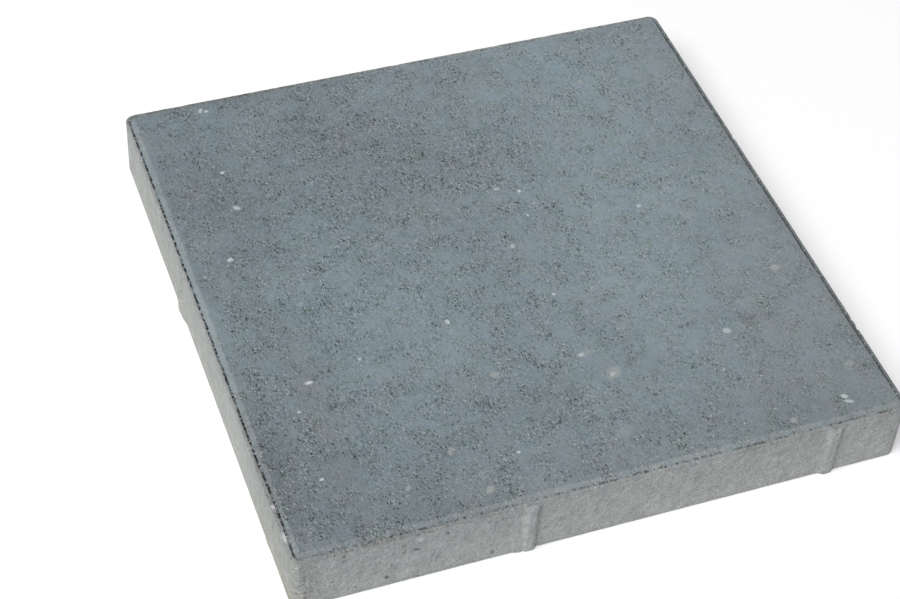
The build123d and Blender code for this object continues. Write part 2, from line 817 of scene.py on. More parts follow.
@dataclass(frozen=True)
class NoiseLayer:
    """A noise texture: its coarsest wavelength, its number of finer layers and their strength."""

    wave_mm: float
    detail: float = 0.0
    roughness: float = 0.5

    def node(self, graph: ShaderGraph, place: Socket) -> bpy.types.Node:
        """Noise node at a place in millimetres."""
        inputs = {
            "Vector": place,
            "Scale": 1.0 / self.wave_mm,
            "Detail": self.detail,
            "Roughness": self.roughness,
        }
        return graph.node("ShaderNodeTexNoise", {}, inputs)

    def swing(self, graph: ShaderGraph, place: Socket) -> Number:
        """Noise about 0, from -0.5 to 0.5."""
        return graph.number(self.node(graph, place), "Fac") - MIDDLE

    def pushed(self, graph: ShaderGraph, place: Socket, reach_mm: float) -> Socket:
        """Place pushed about by the noise, so that spots drawn on it come out uneven.

        Args:
            graph: The material's graph.
            place: Place in millimetres.
            reach_mm: Size of the push.

        Returns:
            The new place.
        """
        push = self.node(graph, place).outputs["Color"]
        settled = graph.vector("SUBTRACT", push, {"Vector_001": (MIDDLE,) * 3})
        return graph.vector("MULTIPLY_ADD", settled, {"Vector_001": (reach_mm,) * 3, "Vector_002": place})


@dataclass(frozen=True)
class Spots:
    """Scattered long spots, one at most in each cell of a random lattice."""

    cell_mm: float
    largest_mm: float
    rarity: float
    soft_mm: float
    stretch: float
    turn_deg: float

    def mask(self, graph: ShaderGraph, place: Socket, rough: Number) -> Number:
        """Mask of the spots: (radius - distance) / softness, held between 0 and 1.

        The cells are drawn out, so that spots come out long. A spot's radius runs with its cell's
        random number from nothing up to the largest radius, and cells under the rarity have none.

        Args:
            graph: The material's graph.
            place: Place in millimetres.
            rough: Roughness of the face, which adds to the random number.

        Returns:
            The mask.
        """
        chance, distance = graph.long_cells(place, self.cell_mm, self.stretch, self.turn_deg)
        radius = (chance + rough - self.rarity) * (self.largest_mm / (1.0 - self.rarity))
        return ((radius - distance * self.cell_mm) / self.soft_mm).clamped()


@dataclass(frozen=True)
class SpotSet:
    """Several kinds of spots together."""

    kinds: tuple[Spots, ...]

    def mask(self, graph: ShaderGraph, place: Socket, rough: Number) -> Number:
        """The largest of the kinds' masks at a place in millimetres."""
        return reduce(Number.larger, [kind.mask(graph, place, rough) for kind in self.kinds])


@dataclass(frozen=True)
class Sand:
    """Sand in the concrete's skin: one long grain in each cell of a random lattice, with cracks between.

    Tone is the grain's own random lightness about 0, raised to the fifth power so that most grains
    are alike and a few stand out. Gap is about 0 on average, and largest far from the grains' middles.
    """

    cell_mm: float
    push: NoiseLayer
    push_mm: float
    stretch: float = 1.6
    turn_deg: float = 104.0
    gap_start: float = 0.45
    gap_run: float = 0.25
    gap_mean: float = 0.40

    def read(self, graph: ShaderGraph, place: Socket) -> tuple[Number, Number, Number]:
        """Tone, gap and distance of the grains.

        Args:
            graph: The material's graph.
            place: Place in millimetres.

        Returns:
            Tone from -0.5 to 0.5, gap about 0, and distance from the grain's middle in cells.
        """
        uneven = self.push.pushed(graph, place, self.push_mm)
        chance, distance = graph.long_cells(uneven, self.cell_mm, self.stretch, self.turn_deg)
        chance = chance - MIDDLE
        square = chance * chance
        gap = ((distance - self.gap_start) / self.gap_run).clamped() - self.gap_mean
        return square * square * chance / MIDDLE**4, gap, distance


@dataclass(frozen=True)
class SandSkin:
    """Fine and coarse sand together, as a tone and a height in millimetres."""

    fine: Sand = Sand(0.70, NoiseLayer(1.0), 0.4)
    coarse: Sand = Sand(1.9, NoiseLayer(1.9, 1.0), 1.2)
    fine_tone: float = 1.75
    coarse_tone: float = 0.2
    # How much the gaps between grains darken the tone: painted shade in the cracks.
    fine_gap: float = 0.16
    coarse_gap: float = 0.05
    fine_height_mm: float = 0.30
    coarse_height_mm: float = 0.30

    def read(self, graph: ShaderGraph, place: Socket) -> Skin:
        """Tone and height of the skin at full roughness.

        Args:
            graph: The material's graph.
            place: Place in millimetres.

        Returns:
            Tone about 0 and height in millimetres.
        """
        fine_tone, fine_gap, fine_distance = self.fine.read(graph, place)
        coarse_tone, coarse_gap, coarse_distance = self.coarse.read(graph, place)
        tone = fine_tone * self.fine_tone + coarse_tone * self.coarse_tone
        # Painted shade in the cracks between grains.
        tone = tone - fine_gap * self.fine_gap - coarse_gap * self.coarse_gap
        height = fine_distance * -self.fine_height_mm - coarse_distance * self.coarse_height_mm
        return tone, height


@dataclass(frozen=True)
class StoneGrain:
    """A stone, fleck, scar or stain that shows on the concrete: its middle, size, turn and strength.

    It is full up to the inner distance from its middle, in half sizes, and gone at the outer one.
    """

    x_mm: float
    y_mm: float
    length_mm: float
    width_mm: float
    turn_deg: float
    strength: float
    z_mm: float = 45.0
    height_mm: float = 4.0
    inner: float = 0.9
    outer: float = 1.6

    def mask(self, graph: ShaderGraph, place: Socket) -> Number:
        """Ellipse with a soft edge: an even ramp of the scaled distance, from the outer to the inner one.

        Args:
            graph: The material's graph.
            place: Place in millimetres.

        Returns:
            The mask, up to the stone's strength.
        """
        drawing = {
            "Location": (self.x_mm, self.y_mm, self.z_mm),
            "Rotation": (0.0, 0.0, math.radians(self.turn_deg)),
            "Scale": (self.length_mm / 2, self.width_mm / 2, self.height_mm / 2),
        }
        local = graph.fitted(place, drawing)
        length = graph.node("ShaderNodeVectorMath", {"operation": "LENGTH"}, {"Vector": local})
        ramp = {
            "Value": length.outputs["Value"],
            "From Min": self.outer,
            "From Max": self.inner,
            "To Max": self.strength,
        }
        return graph.number(graph.node("ShaderNodeMapRange", {}, ramp), "Result")


Marks = tuple[StoneGrain, ...]


def marked(graph: ShaderGraph, place: Socket, colour: Socket, kinds: Mapping[Colour, Marks]) -> Socket:
    """Colour with each kind of mark laid over it in turn, by the largest of the kind's masks.

    Args:
        graph: The material's graph.
        place: Place in millimetres.
        colour: Colour under the marks.
        kinds: The marks, by their colour.

    Returns:
        The resulting colour.
    """
    for mark_colour, marks in kinds.items():
        masks = [mark.mask(graph, place) for mark in marks]
        colour = graph.mixed(reduce(Number.larger, masks), colour, mark_colour)
    return colour


@dataclass(frozen=True)
class Layer:
    """What one face of the slab looks like: its colour and its fine height in millimetres."""

    colour: Socket
    height: Number


@dataclass(frozen=True)
class WalkingFace:
    """Blue-grey facing with fine cracks and pits, darkened with painted shade, and pale stones."""

    blue: Colour = (0.214, 0.2705, 0.3065)
    warm: Colour = (0.214, 0.2395, 0.2505)
    green: Colour = (0.197, 0.2515, 0.2475)
    # Painted shade in the ticks, the fine pits and cracks.
    dark: Colour = (0.027, 0.042, 0.050)
    pale: Colour = (0.485, 0.553, 0.592)
    quartz_colour: Colour = (0.548, 0.600, 0.618)
    sand_colour: Colour = (0.358, 0.380, 0.374)
    mottle: NoiseLayer = NoiseLayer(37.0, 4.0, 0.72)
    moss: NoiseLayer = NoiseLayer(7.0, 2.0, 0.6)
    tint: NoiseLayer = NoiseLayer(19.0, 2.0, 0.6)
    film: NoiseLayer = NoiseLayer(14.0, 2.0, 0.55)
    # Ticks: fine pits and cracks, drawn out across the lamp's direction; their dark colour is painted
    # shade.
    ticks: SpotSet = SpotSet((
        Spots(1.2, 0.33, 0.38, 0.17, 3.4, 98.0),
        Spots(1.45, 0.34, 0.42, 0.18, 3.2, 82.0),
        Spots(1.75, 0.39, 0.42, 0.19, 3.2, 112.0),
    ))
    specks: SpotSet = SpotSet((
        Spots(1.35, 0.36, 0.42, 0.19, 2.6, 148.0),
        Spots(1.7, 0.41, 0.47, 0.21, 2.3, 122.0),
    ))
    unevenness: NoiseLayer = NoiseLayer(1.7, 1.0)
    uneven_reach_mm: float = 0.7
    smooth_share: float = 0.75
    rough_gain: float = 1.6
    bare_warmth: float = 0.6
    tone_warmth: float = 0.9
    bare_shade: float = 0.10
    moss_strength: float = 4.0
    mottle_strength: float = 0.50
    tint_strength: float = 1.4
    film_strength: float = 1.45
    tick_darkness: float = 0.73
    speck_paleness: float = 0.70
    tick_depth_mm: float = 0.40
    speck_height_mm: float = 0.20
    quartz: Marks = (
        StoneGrain(-147.6, 188.6, 4.0, 2.0, 60.0, 0.75),
        StoneGrain(-144.0, 187.0, 2.2, 1.6, 0.0, 0.95),
        StoneGrain(-150.0, 124.4, 2.4, 2.0, 20.0, 0.95),
        StoneGrain(-149.8, 89.2, 4.2, 2.8, -35.0, 0.72),
        StoneGrain(-167.0, 44.4, 3.4, 2.8, 0.0, 0.90),
        StoneGrain(-149.6, -71.0, 4.0, 2.0, 5.0, 1.00),
        StoneGrain(-114.0, -61.5, 2.0, 1.7, 0.0, 0.75),
        StoneGrain(-51.0, -47.8, 2.2, 3.4, 0.0, 0.95),
        StoneGrain(-164.6, -145.4, 2.6, 1.8, 30.0, 0.95),
        StoneGrain(163.6, -178.6, 3.6, 2.6, -30.0, 0.85),
        StoneGrain(164.6, -183.2, 4.6, 2.0, -20.0, 0.75),
        StoneGrain(116.4, -106.8, 4.4, 3.4, -25.0, 0.62),
        StoneGrain(107.6, 14.6, 3.0, 2.2, 30.0, 0.72),
        StoneGrain(35.4, 51.0, 1.7, 2.2, 0.0, 1.00),
        StoneGrain(22.5, -44.8, 1.7, 1.7, 0.0, 1.00),
        StoneGrain(12.6, 3.2, 2.4, 2.6, 0.0, 0.62),
        StoneGrain(32.7, 27.7, 1.7, 1.9, 0.0, 0.75),
        StoneGrain(-162.0, -91.7, 1.8, 1.4, 0.0, 0.80),
        StoneGrain(100.6, -136.5, 2.2, 1.6, 20.0, 0.55),
        StoneGrain(21.4, 57.2, 3.0, 2.6, 0.0, 0.60),
        StoneGrain(-46.0, -160.4, 1.7, 1.5, 0.0, 0.85),
        StoneGrain(19.6, -98.8, 3.0, 2.0, 15.0, 0.65),
        StoneGrain(32.4, -119.4, 3.4, 2.2, 35.0, 0.50),
    )
    sand: Marks = (
        StoneGrain(171.0, -64.6, 5.0, 4.0, 10.0, 0.90),
        StoneGrain(124.6, -187.0, 4.0, 3.0, 20.0, 0.90),
        StoneGrain(178.8, -154.6, 5.2, 3.4, 0.0, 0.55),
        StoneGrain(137.5, -3.0, 7.0, 3.6, 10.0, 0.30),
        StoneGrain(22.0, -98.0, 7.5, 3.0, 15.0, 0.50),
        StoneGrain(33.0, -118.7, 10.0, 6.4, 35.0, 0.60),
        StoneGrain(21.0, -164.6, 11.0, 6.0, 20.0, 0.28),
        StoneGrain(-38.0, -98.5, 5.6, 4.0, -30.0, 0.75),
        StoneGrain(-84.4, -147.5, 4.2, 3.0, 60.0, 0.80),
        StoneGrain(-72.3, -182.0, 5.0, 3.4, 40.0, 0.80),
        StoneGrain(-118.0, -166.6, 3.2, 2.2, 40.0, 0.75),
        StoneGrain(-51.0, -56.0, 3.0, 2.4, 0.0, 0.40),
        StoneGrain(11.5, -20.8, 6.0, 3.0, 20.0, 0.35),
        StoneGrain(117.7, 143.8, 2.4, 2.2, 0.0, 1.00),
        StoneGrain(40.6, 37.5, 2.2, 2.0, 0.0, 1.00),
        StoneGrain(28.6, -195.6, 5.0, 3.0, 15.0, 0.95),
    )

    def layer(self, graph: ShaderGraph, place: Socket, rough: Number, skin: Skin) -> Layer:
        """Colour and fine height of the walking face.

        Args:
            graph: The material's graph.
            place: Place in millimetres.
            rough: Roughness that the mesh carries.
            skin: Tone and height of the sand.

        Returns:
            The layer.
        """
        uneven = self.unevenness.pushed(graph, place, self.uneven_reach_mm)
        film = self.film.swing(graph, place) * self.film_strength + rough
        bare = (film * self.rough_gain + self.smooth_share).clamped()
        ticks = self.ticks.mask(graph, uneven, film)
        specks = self.specks.mask(graph, uneven, film)

        warm = graph.attribute("warm") + self.tint.swing(graph, place) * self.tint_strength
        tone = skin[0] * bare
        warm = warm + film * self.bare_warmth + tone * self.tone_warmth
        strength = 1.0 + graph.attribute("light") + self.mottle.swing(graph, place) * self.mottle_strength
        strength = strength + tone - film * self.bare_shade
        colour = graph.mixed(warm, self.blue, self.warm)
        colour = graph.mixed(self.moss.swing(graph, place) * self.moss_strength, colour, self.green)
        colour = graph.scaled(colour, strength)
        colour = graph.mixed(specks * self.speck_paleness, colour, self.pale)
        # Painted shade in the ticks.
        colour = graph.mixed(ticks * self.tick_darkness, colour, self.dark)
        stones = {self.sand_colour: self.sand, self.quartz_colour: self.quartz}
        colour = marked(graph, uneven, colour, stones)
        height = skin[1] * bare - ticks * self.tick_depth_mm + specks * self.speck_height_mm
        return Layer(colour, height)


@dataclass(frozen=True)
class CastSides:
    """Pale grey sides, as they come out of the mould: rough, with pits and scars in painted shade, streaks
    and a stain.
    """

    grey: Colour = (0.426, 0.452, 0.456)
    warm_grey: Colour = (0.444, 0.454, 0.432)
    # Painted shade in the pits and scars.
    pit: Colour = (0.120, 0.125, 0.122)
    fleck_colour: Colour = (0.640, 0.650, 0.640)
    stain_colour: Colour = (0.456, 0.453, 0.374)
    stretch: tuple[float, float, float] = (1.0, 1.0, 0.3)
    streak: NoiseLayer = NoiseLayer(6.7, 2.0, 0.6)
    mottle: NoiseLayer = NoiseLayer(11.0, 4.0, 0.75)
    swell: NoiseLayer = NoiseLayer(5.6, 3.0, 0.55)
    tint: NoiseLayer = NoiseLayer(8.0, 2.0, 0.6)
    pits: SpotSet = SpotSet((
        Spots(2.6, 0.70, 0.55, 0.35, 1.5, 0.0),
        Spots(4.4, 1.10, 0.55, 0.80, 1.6, 20.0),
    ))
    grains: SpotSet = SpotSet((
        Spots(2.3, 0.60, 0.50, 0.35, 1.5, 0.0),
        Spots(4.8, 1.60, 0.40, 1.10, 1.3, 150.0),
    ))
    unevenness: NoiseLayer = NoiseLayer(2.1, 1.0)
    film: NoiseLayer = NoiseLayer(13.0, 2.0, 0.6)
    film_strength: float = 1.0
    uneven_reach_mm: float = 1.6
    streak_strength: float = 0.26
    mottle_strength: float = 0.56
    tint_strength: float = 2.0
    sand_tone: float = 0.36
    sand_height: float = 0.58
    pit_darkness: float = 0.50
    grain_strength: float = 0.20
    swell_height_mm: float = 2.6
    flecks: Marks = (
        StoneGrain(-197.3, -155.0, 1.6, 2.4, 0.0, 1.00, z_mm=43.4),
        StoneGrain(-197.3, -178.6, 1.6, 6.0, 0.0, 0.80, z_mm=43.4),
    )
    stain: StoneGrain = StoneGrain(-200.0, -190.0, 6.0, 100.0, 0.0, 0.65, z_mm=2.0, height_mm=17.0)
    scars: Marks = (
        StoneGrain(-141.0, -199.0, 2.0, 4.0, 0.0, 0.90, z_mm=8.5, height_mm=2.8),
        StoneGrain(-123.5, -199.0, 3.4, 4.0, 0.0, 0.75, z_mm=28.5, height_mm=2.2),
        StoneGrain(-104.5, -199.0, 1.9, 4.0, 0.0, 0.70, z_mm=36.5, height_mm=2.2),
        StoneGrain(-168.0, -199.0, 1.9, 4.0, 0.0, 0.70, z_mm=39.0, height_mm=2.2),
        StoneGrain(-138.5, -199.0, 1.3, 4.0, 0.0, 0.75, z_mm=19.5, height_mm=2.0),
        StoneGrain(-74.5, -199.0, 1.9, 4.0, 0.0, 0.65, z_mm=6.0, height_mm=2.6),
    )

    def layer(self, graph: ShaderGraph, place: Socket, rough: Number, skin: Skin) -> Layer:
        """Colour and fine height of the sides.

        Args:
            graph: The material's graph.
            place: Place in millimetres.
            rough: Roughness that the mesh carries.
            skin: Tone and height of the sand.

        Returns:
            The layer.
        """
        uneven = self.unevenness.pushed(graph, place, self.uneven_reach_mm)
        drawn = graph.vector("MULTIPLY", place, {"Vector_001": self.stretch})
        bare = rough + self.film.swing(graph, place) * self.film_strength
        dark = self.pits.mask(graph, uneven, bare)
        grains = self.grains.mask(graph, uneven, bare)
        strength = 1.0 + graph.attribute("light") + self.streak.swing(graph, drawn) * self.streak_strength
        strength = strength + skin[0] * (rough + self.sand_tone)
        strength = strength + self.mottle.swing(graph, place) * self.mottle_strength
        strength = strength + grains * self.grain_strength
        tint = self.tint.swing(graph, place) * self.tint_strength + graph.attribute("warm")
        base = graph.mixed(tint, self.grey, self.warm_grey)
        base = graph.mixed(self.stain.mask(graph, uneven), base, self.stain_colour)
        colour = graph.scaled(base, strength)
        # Painted shade in the pits, then in the scars.
        colour = graph.mixed(dark * self.pit_darkness, colour, self.pit)
        colour = marked(graph, uneven, colour, {self.pit: self.scars, self.fleck_colour: self.flecks})
        swell = self.swell.swing(graph, place) * self.swell_height_mm
        return Layer(colour, swell + skin[1] * (rough + self.sand_height))


@dataclass(frozen=True)
class PressedConcrete:
    """Finish of the whole slab: facing on top, cast sides, and a crevice of dirt and painted shade where
    they meet.
    """

    skin: SandSkin = SandSkin()
    walking: WalkingFace = WalkingFace()
    sides: CastSides = CastSides()
    # Colour of the dirt and painted shade in the groove, and of the painted shade in the nibs' crease.
    crevice: Colour = (0.014, 0.015, 0.016)
    ragged: NoiseLayer = NoiseLayer(2.3, 2.0, 0.7)
    ragged_reach: float = 0.5
    bead_sand: float = 1.0
    bead_reach: float = 1.9
    bead_sharpness: float = 5.0
    roughness: float = 0.92
    specular: float = 0.25

    def material(self) -> bpy.types.Material:
        """Makes the material.

        Returns:
            The material.
        """
        material = bpy.data.materials.new("pressed_concrete")
        graph = ShaderGraph(material)
        place = graph.place_mm()
        rough = graph.attribute("rough")
        skin = self.skin.read(graph, place)
        top = self.walking.layer(graph, place, rough, skin)
        side = self.sides.layer(graph, place, rough, skin)
        ragged = self.ragged.swing(graph, place)
        facing = (graph.attribute("facing") + ragged * self.ragged_reach).clamped()
        soil = graph.attribute("soil") + ragged * self.bead_reach - skin[0] * self.bead_sand
        beads = ((soil - MIDDLE) * self.bead_sharpness + MIDDLE).clamped()
        colour = graph.mixed(facing, side.colour, top.colour)
        # Dark beads: dirt and painted shade in the groove, and painted shade in the nibs' crease.
        colour = graph.mixed(beads * graph.attribute("grime"), colour, self.crevice)
        height = top.height * facing + side.height * (1.0 - facing)
        bump = graph.node("ShaderNodeBump", {}, {"Strength": 1.0, "Distance": MM, "Height": height})
        inputs = {
            "Base Color": colour,
            "Roughness": self.roughness,
            "Specular IOR Level": self.specular,
            "Normal": bump.outputs["Normal"],
        }
        surface = graph.node("ShaderNodeBsdfPrincipled", {}, inputs)
        graph.node("ShaderNodeOutputMaterial", {}, {"Surface": surface.outputs["BSDF"]})
        return material


@dataclass
class PavingSlab:
    """The slab's closed surface and its finish."""

    sizes: SlabSizes
    finish: PressedConcrete = field(default_factory=PressedConcrete)
    wear: ArrisWear = field(default_factory=ArrisWear)
    nib_wear: NibWear = field(default_factory=NibWear)
    relief: LatticeNoise = field(default_factory=lambda: LatticeNoise(seed=5))
    straight_steps: int = 332
    corner_steps: int = 6
    nib_gain: float = 1.2
    margin: float = 9.0 * MM
    grid_inset: float = 11.0 * MM
    rows: SectionRows = SectionRows()
    bed_insets: tuple[float, float, float, float] = (3.0 * MM, 8.0 * MM, 16.0 * MM, 30.0 * MM)
    inner_radius: float = 2.5 * MM
    walking_sag: float = 0.18 * MM
    walking_wave: float = 28.0 * MM
    walking_octaves: int = 5
    side_sag: float = 0.16 * MM
    side_wave: float = 9.0 * MM
    side_octaves: int = 4
    foot_wear: float = 0.5 * MM
    soil_and_shade_swing: float = 0.35
    face_warm: float = 0.35
    cast_warm: float = 0.50
    foot_light: float = 0.14
    foot_level: float = 0.55
    foot_warm: float = 0.45
    patches: tuple[TonePatch, ...] = (
        TonePatch(-70.0, 120.0, 110.0, 90.0, warm=0.20, light=-0.05, rough=0.10),
        TonePatch(-145.0, 168.0, 26.0, 22.0, warm=-0.30, light=0.03),
        TonePatch(-165.0, 60.0, 30.0, 90.0, warm=0.20, light=-0.04),
        TonePatch(-85.0, -20.0, 70.0, 60.0, warm=-0.25, light=0.03),
        TonePatch(-200.0, -220.0, 130.0, 90.0, light=-0.15),
        TonePatch(-200.0, 200.0, 130.0, 70.0, light=-0.05),
        TonePatch(0.0, -190.0, 300.0, 28.0, warm=0.30),
        TonePatch(150.0, 60.0, 130.0, 180.0, light=0.08),
        TonePatch(-170.0, 0.0, 60.0, 260.0, light=-0.05),
        TonePatch(-30.0, 95.0, 80.0, 45.0, light=-0.05),
        TonePatch(120.0, 165.0, 110.0, 60.0, light=0.07),
        TonePatch(80.0, -60.0, 45.0, 70.0, light=0.05),
        TonePatch(150.0, -175.0, 50.0, 25.0, light=-0.10, rough=-0.12),
        TonePatch(-160.0, 110.0, 40.0, 30.0, light=-0.04),
        TonePatch(-72.0, 24.0, 30.0, 40.0, light=-0.03),
        TonePatch(-120.0, -110.0, 40.0, 35.0, light=-0.03),
        TonePatch(-24.0, 170.0, 25.0, 20.0, light=0.035),
        TonePatch(180.0, 30.0, 30.0, 80.0, rough=-0.10),
        TonePatch(48.0, -118.0, 40.0, 30.0, rough=-0.14),
        TonePatch(-130.0, -170.0, 50.0, 40.0, light=-0.03),
        TonePatch(-110.0, 60.0, 50.0, 140.0, warm=-0.15),
        TonePatch(100.0, -150.0, 50.0, 35.0, warm=0.15),
        TonePatch(24.0, 85.0, 50.0, 40.0, rough=0.10),
        TonePatch(-145.0, 120.0, 50.0, 40.0, rough=-0.10),
        TonePatch(70.8, 189.6, 7.0, 4.0, warm=-0.20, light=0.06, rough=-0.30),
        TonePatch(148.5, -102.7, 3.0, 3.0, light=-0.25),
        TonePatch(85.0, 20.0, 60.0, 110.0, warm=-0.10, light=0.07, rough=-0.06),
        TonePatch(180.0, 80.0, 40.0, 140.0, warm=0.25),
        TonePatch(170.0, -110.0, 60.0, 100.0, warm=0.40, light=0.02, rough=-0.12),
        TonePatch(-190.0, -125.0, 16.0, 55.0, warm=0.30, light=-0.20, rough=0.15),
        TonePatch(-152.0, -90.0, 12.0, 80.0, warm=0.50, light=-0.04),
        TonePatch(-15.0, -128.0, 34.0, 22.0, warm=0.25, light=-0.05, rough=0.05),
        TonePatch(134.0, -101.0, 5.0, 4.0, warm=0.30, light=-0.25),
        TonePatch(-14.5, -146.0, 5.0, 4.0, light=-0.10, rough=0.30),
        TonePatch(-160.0, -200.0, 40.0, 9.0, light=-0.03, rough=0.10),
        TonePatch(-195.0, 20.0, 6.0, 260.0, rough=-0.25),
        # These change how much of the groove is darkened by dirt and painted shade, near some corners and
        # chips.
        TonePatch(199.0, -120.0, 4.0, 60.0, soil=0.10),
        TonePatch(-184.0, -199.0, 14.0, 5.0, soil=-0.45),
        TonePatch(-198.0, -192.0, 3.0, 5.0, soil=0.35),
        TonePatch(-198.5, 190.0, 2.5, 7.0, soil=0.30),
        TonePatch(-188.0, 199.0, 9.0, 3.0, soil=-0.40),
        TonePatch(-130.0, 196.0, 80.0, 5.0, warm=0.20, light=-0.10),
        TonePatch(109.0, 131.0, 6.0, 5.0, rough=0.25),
        TonePatch(116.6, 176.0, 6.0, 5.0, rough=0.25),
        TonePatch(-126.0, -26.0, 6.0, 5.0, rough=0.25),
        TonePatch(-190.0, -190.0, 16.0, 16.0, light=0.13),
        TonePatch(-4.0, 190.0, 22.0, 10.0, light=0.08),
        TonePatch(66.0, 192.0, 20.0, 10.0, light=0.07),
        TonePatch(-54.0, 190.0, 18.0, 10.0, light=-0.08),
        TonePatch(-190.0, 124.0, 10.0, 22.0, light=-0.08),
        TonePatch(110.0, -190.0, 22.0, 10.0, light=-0.07),
        TonePatch(-86.0, -190.0, 22.0, 10.0, light=-0.06),
        TonePatch(-148.0, 6.0, 16.0, 22.0, warm=-0.25, light=0.05),
    )
    side_patches: tuple[TonePatch, ...] = (
        TonePatch(-200.0, 20.0, 4.0, 260.0, warm=0.35, rough=-0.20),
        TonePatch(-200.0, 170.0, 4.0, 60.0, light=0.05),
        TonePatch(-200.0, -80.0, 4.0, 24.0, light=0.08),
        TonePatch(-200.0, -134.0, 4.0, 26.0, light=-0.05),
        TonePatch(-200.0, -10.0, 4.0, 50.0, light=0.03),
        TonePatch(-200.0, -186.0, 4.0, 14.0, light=-0.06),
        TonePatch(0.0, -201.0, 260.0, 3.0, warm=-0.30, light=0.02, rough=0.10),
        TonePatch(-130.0, -201.0, 90.0, 3.0, warm=-0.55),
        TonePatch(-90.0, -201.0, 32.0, 3.0, light=-0.035),
        TonePatch(8.0, -201.0, 30.0, 3.0, light=0.035),
        TonePatch(172.0, -201.0, 22.0, 3.0, light=0.06),
        # Painted shade on the front right corner.
        TonePatch(197.0, -199.0, 7.0, 5.0, light=-0.10),
        TonePatch(-185.0, -201.0, 20.0, 3.0, light=-0.04),
        TonePatch(-191.0, -199.0, 9.0, 5.0, warm=0.30, light=-0.12, rough=0.25),
        TonePatch(-128.0, -201.0, 18.0, 3.0, light=-0.05, rough=0.10),
        TonePatch(-52.0, -201.0, 5.5, 3.0, rough=-0.25),
        # Painted shade, with a warmer tint, on the right flank of a front nib.
        TonePatch(-48.0, -201.0, 2.0, 3.0, warm=0.40, light=-0.10),
        TonePatch(148.0, -201.0, 5.5, 3.0, rough=-0.20),
        # Painted shade, with a warmer tint, on the right flank of a front nib.
        TonePatch(152.0, -201.0, 2.0, 3.0, warm=0.40, light=-0.10),
        TonePatch(-200.0, -175.0, 4.0, 25.0, warm=0.40, light=-0.04),
    )

    def build(self) -> bpy.types.Object:
        """Makes the slab's mesh, gives it its finish and sets it in place of the plain solid.

        Returns:
            The slab's object.
        """
        points, quads, triangles, tones = self.surface()
        mesh = mesh_from_arrays("paving_slab_surface", points, quads, triangles)
        for name, values in tones.items():
            mesh.attributes.new(name, "FLOAT", "POINT").data.foreach_set("value", values)
        slab = bpy.data.objects.new("pressed_concrete_slab", mesh)
        bpy.context.scene.collection.objects.link(slab)
        self.dress(slab)
        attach(slab, BODY)
        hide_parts(NODE)
        return slab

    def dress(self, slab: bpy.types.Object) -> None:
        """Gives the slab its finish."""
        slab.data.materials.append(self.finish.material())

    def surface(self) -> tuple[FloatArray, IntArray, IntArray, dict[str, FloatArray]]:
        """Joins the walking grid, the edge rings and the bed grid into one closed surface.

        Returns:
            Points, four-sided faces, three-sided faces, and the tones at the points.
        """
        columns = Columns.spread(self.sizes, self.straight_steps, self.corner_steps, self.nib_gain)
        section = Section.of_slab(self.sizes, self.rows, self.margin, self.bed_insets[0])
        walking = self.face_grid(columns.thinned(HALVING), self.grid_inset)
        walking[:, 2] = self.sizes.thickness - self.sag(walking)
        rings, opening = self.edge_rings(columns, section)
        bed_rings = [
            self.flat_ring(columns.thinned(HALVING ** (turn + 1)), inset)
            for turn, inset in enumerate(self.bed_insets[1:-1])
        ]
        bed = self.face_grid(columns.thinned(HALVING ** len(self.bed_insets[1:])), self.bed_insets[-1])

        blocks = [walking, rings.reshape(-1, 3), *bed_rings, bed]
        starts = np.concatenate([[0], np.cumsum([len(block) for block in blocks])])
        ring_index = starts[1] + np.arange(rings.shape[0] * rings.shape[1]).reshape(rings.shape[:2])
        walking_steps = round(math.sqrt(len(walking))) - 1
        bed_steps = round(math.sqrt(len(bed))) - 1
        narrowing = [
            ring_index[-1],
            *[starts[2 + turn] + np.arange(len(ring)) for turn, ring in enumerate(bed_rings)],
            starts[-2] + grid_border(bed_steps),
        ]
        quads = np.concatenate([
            grid_quads(walking_steps),
            ring_quads(ring_index),
            (starts[-2] + grid_quads(bed_steps))[:, ::-1],
        ])
        triangles = np.concatenate([
            halving_triangles(ring_index[0], grid_border(walking_steps))[:, ::-1],
            *[halving_triangles(outer, inner) for outer, inner in zip(narrowing, narrowing[1:])],
        ])
        points = np.concatenate(blocks)
        cast = np.arange(len(points)) >= len(walking)
        cast[ring_index] = section.within(Zone.SIDE, Zone.FOOT, Zone.BED) > 0.0
        tones = self.patch_tones(points, self.patches, self.face_warm)
        for name, values in self.patch_tones(points, self.side_patches, self.cast_warm).items():
            tones[name] = np.where(cast, values, tones[name])
        tones["facing"] = np.zeros(len(points))
        tones["facing"][: len(walking)] = 1.0
        tones["grime"] = np.zeros(len(points))
        for name, values in self.edge_tones(columns, section, opening).items():
            tones[name][ring_index] += values
        return points, quads, triangles, tones

    def patch_tones(
        self, points: FloatArray, patches: tuple[TonePatch, ...], warm: float
    ) -> dict[str, FloatArray]:
        """Sums of the patches' bells: tint, lightness, roughness, and the groove's dirt and painted shade.

        Args:
            points: All points of the surface.
            patches: The patches.
            warm: Warmth where there is no patch.

        Returns:
            The warm, light, rough and soil values.
        """
        bells = [patch.spread(points) for patch in patches]
        names = ("warm", "light", "rough", "soil")
        sums = {name: sum(getattr(p, name) * bell for p, bell in zip(patches, bells)) for name in names}
        sums["warm"] = sums["warm"] + warm
        return sums

